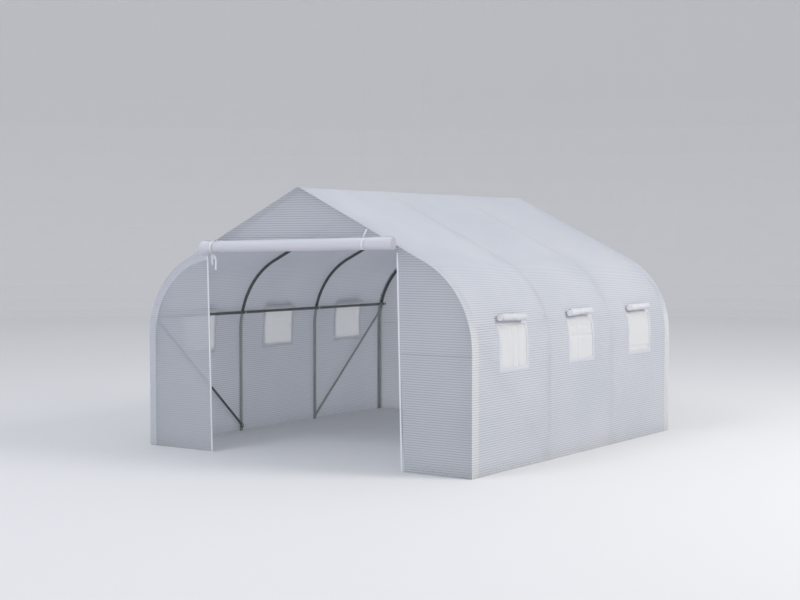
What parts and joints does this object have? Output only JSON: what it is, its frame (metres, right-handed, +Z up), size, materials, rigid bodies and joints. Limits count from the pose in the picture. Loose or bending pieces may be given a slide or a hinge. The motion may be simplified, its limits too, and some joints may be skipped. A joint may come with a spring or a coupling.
{
  "type": "polytunnel greenhouse",
  "caption": "Walk-in polytunnel greenhouse: peaked steel tube hoops under a ribbed film cover, with a wide doorway, a rolled-up door and netted side windows.",
  "frame": {"origin": "on the ground, under the middle of the whole object's box, with the rolled-up door included", "axes": "+X to the right seen from the doorway, +Y from the doorway to the back, +Z up"},
  "size_m": [3.049, 3.2578, 2.0048],
  "materials": {
    "frame_tube": "smooth satin",
    "cover_film": "translucent woven film with fine cross ribs",
    "rolled_film": "rolled film, several layers",
    "window_netting": "fine insect netting",
    "strap_webbing": "woven tape",
    "sewn_welt": "folded and sewn film edge"
  },
  "bodies": {
    "root": {"door_roll": "rolled_film", "door_straps": "strap_webbing", "door_welts": "sewn_welt", "front_gable_panel": "cover_film", "front_left_brace": "frame_tube", "front_left_panel": "cover_film", "front_right_brace": "frame_tube", "front_right_panel": "cover_film", "hoop_1_left_leg": "frame_tube", "hoop_1_left_rib": "frame_tube", "hoop_1_right_leg": "frame_tube", "hoop_1_right_rib": "frame_tube", "hoop_2_left_leg": "frame_tube", "hoop_2_left_rib": "frame_tube", "hoop_2_right_leg": "frame_tube", "hoop_2_right_rib": "frame_tube", "hoop_3_left_leg": "frame_tube", "hoop_3_left_rib": "frame_tube", "hoop_3_right_leg": "frame_tube", "hoop_3_right_rib": "frame_tube", "hoop_4_left_leg": "frame_tube", "hoop_4_left_rib": "frame_tube", "hoop_4_right_leg": "frame_tube", "hoop_4_right_rib": "frame_tube", "left_roof_film": "cover_film", "left_shoulder_film": "cover_film", "left_side_rail": "frame_tube", "left_wall_film": "cover_film", "left_window_rolls": "rolled_film", "left_window_screens": "window_netting", "left_window_ties": "strap_webbing", "rear_end_panel": "cover_film", "rear_left_brace": "frame_tube", "rear_right_brace": "frame_tube", "ridge_elbows": "frame_tube", "ridge_rail": "frame_tube", "right_roof_film": "cover_film", "right_shoulder_film": "cover_film", "right_side_rail": "frame_tube", "right_wall_film": "cover_film", "right_window_rolls": "rolled_film", "right_window_screens": "window_netting", "right_window_ties": "strap_webbing"}
  },
  "joints": []
}
